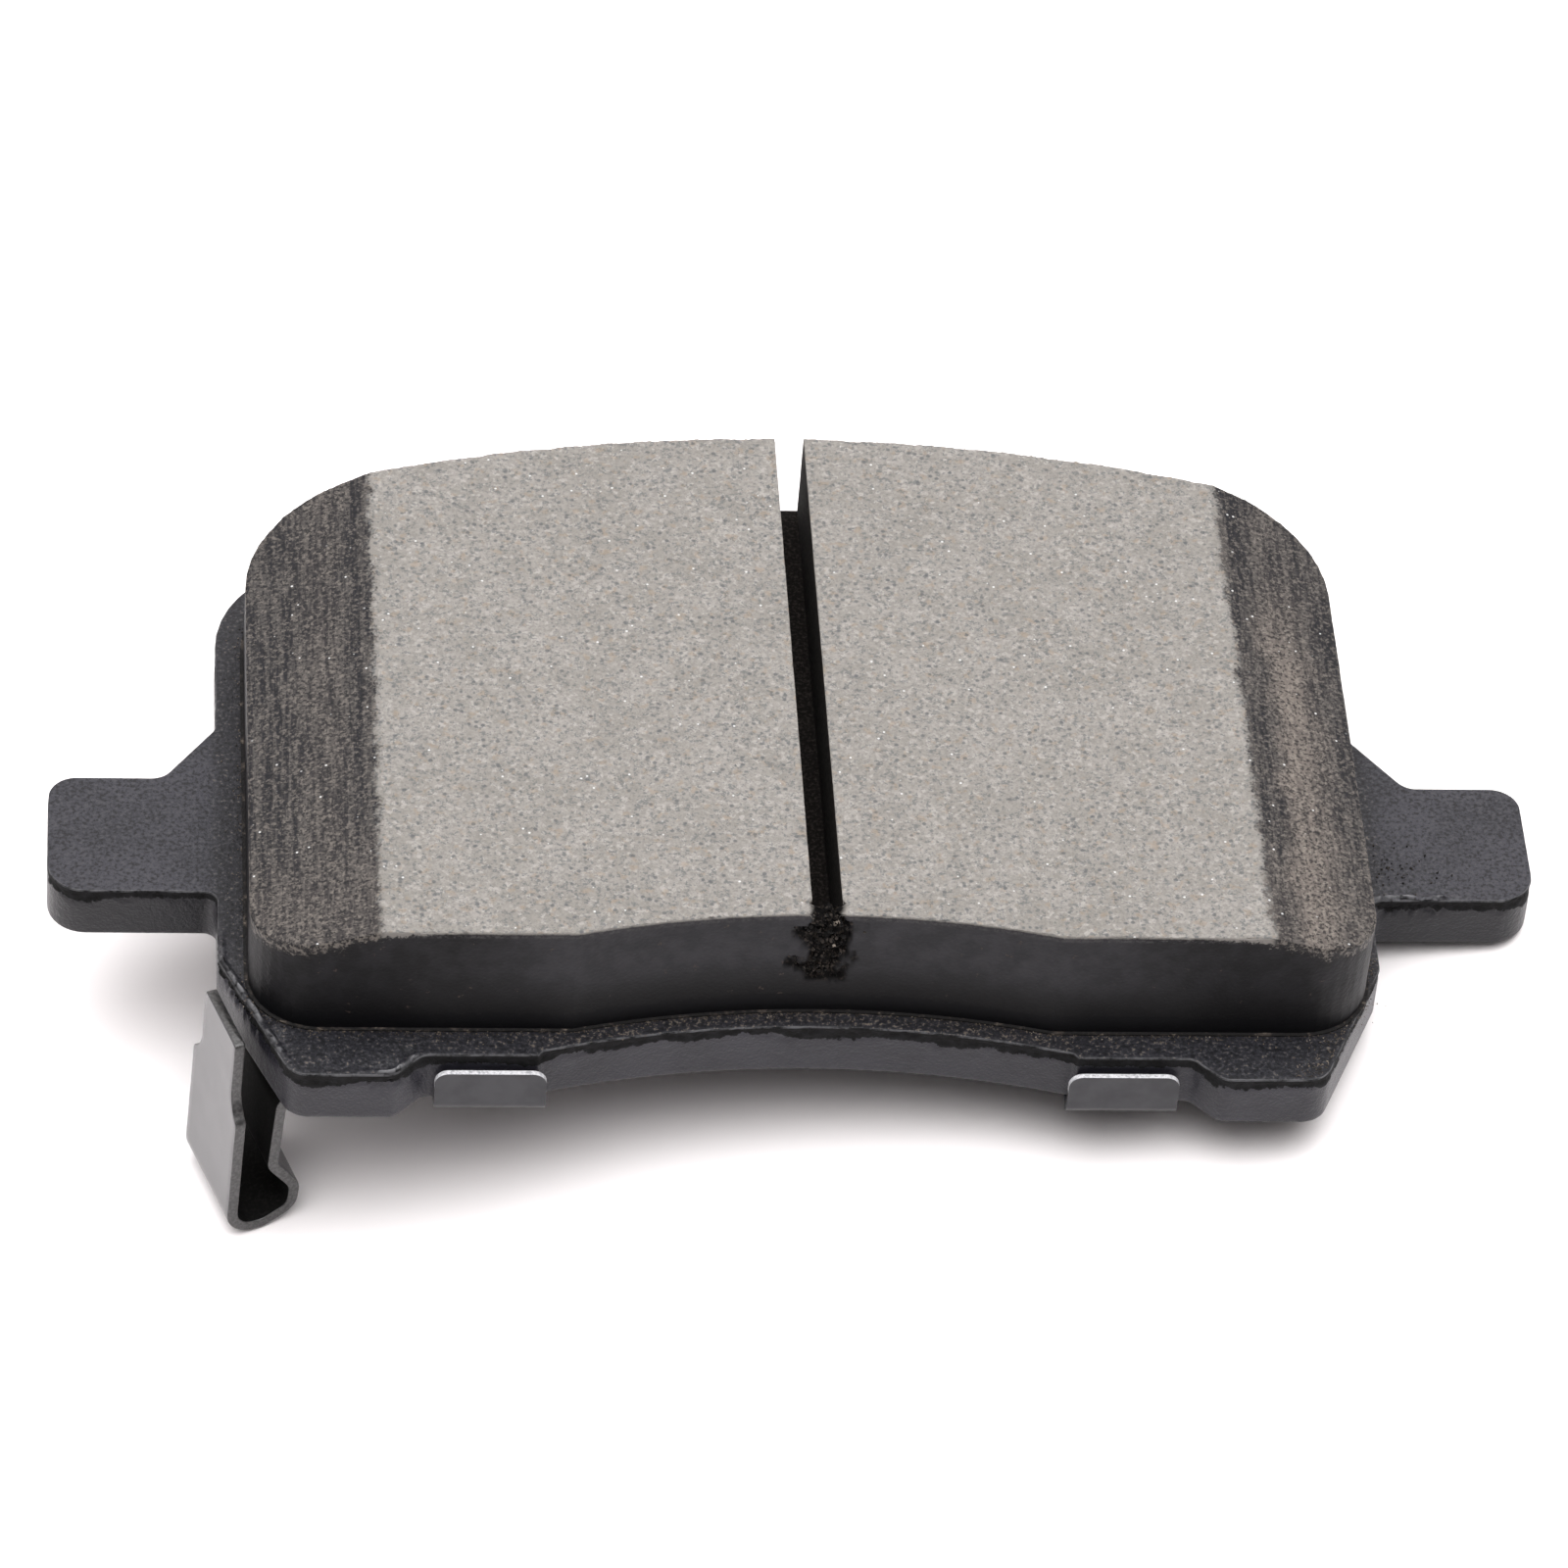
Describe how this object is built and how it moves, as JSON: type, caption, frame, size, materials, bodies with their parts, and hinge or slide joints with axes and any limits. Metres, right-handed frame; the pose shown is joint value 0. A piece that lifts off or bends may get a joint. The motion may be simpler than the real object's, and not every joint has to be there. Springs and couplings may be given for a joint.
{
  "type": "disc brake pad",
  "caption": "Disc brake pad with eared steel backing plate, slotted and chamfered friction block, layered shim with bent tabs and sprung wear indicator.",
  "frame": {"origin": "centre of the shim's outer face, where the caliper's piston presses", "axes": "+X along the length from ear to ear, +Y away from the axle towards the bowed outer edge, +Z normal to the friction face towards the rotor"},
  "size_m": [0.1374, 0.0739, 0.0347],
  "materials": {
    "friction": "matte",
    "underlayer": "matte",
    "bond": "matte",
    "plate_paint": "satin",
    "shim_glue": "matte",
    "shim_rubber": "matte",
    "shim_steel": "satin",
    "spring_steel": "satin",
    "rivet_steel": "satin"
  },
  "bodies": {
    "pad": {"backing_plate": "plate_paint", "friction_block": "friction", "underlayer": "underlayer", "bond_film": "bond", "shim_adhesive": "shim_glue", "shim_inner_rubber": "shim_rubber", "shim_steel": "shim_steel", "shim_outer_rubber": "shim_rubber", "wear_indicator_spring": "spring_steel", "wear_indicator_rivet": "rivet_steel"},
    "indicator_arm": {"wear_indicator_arm": "spring_steel"}
  },
  "joints": [
    {"name": "wear_indicator_flex", "type": "hinge", "parent": "pad", "child": "indicator_arm", "pos_m": [-0.05332, -0.02954, -0.01165], "axis": [0.342, -0.9397, 0], "range_deg": [-3, 4], "stiffness_Nm_per_rad": 7}
  ]
}
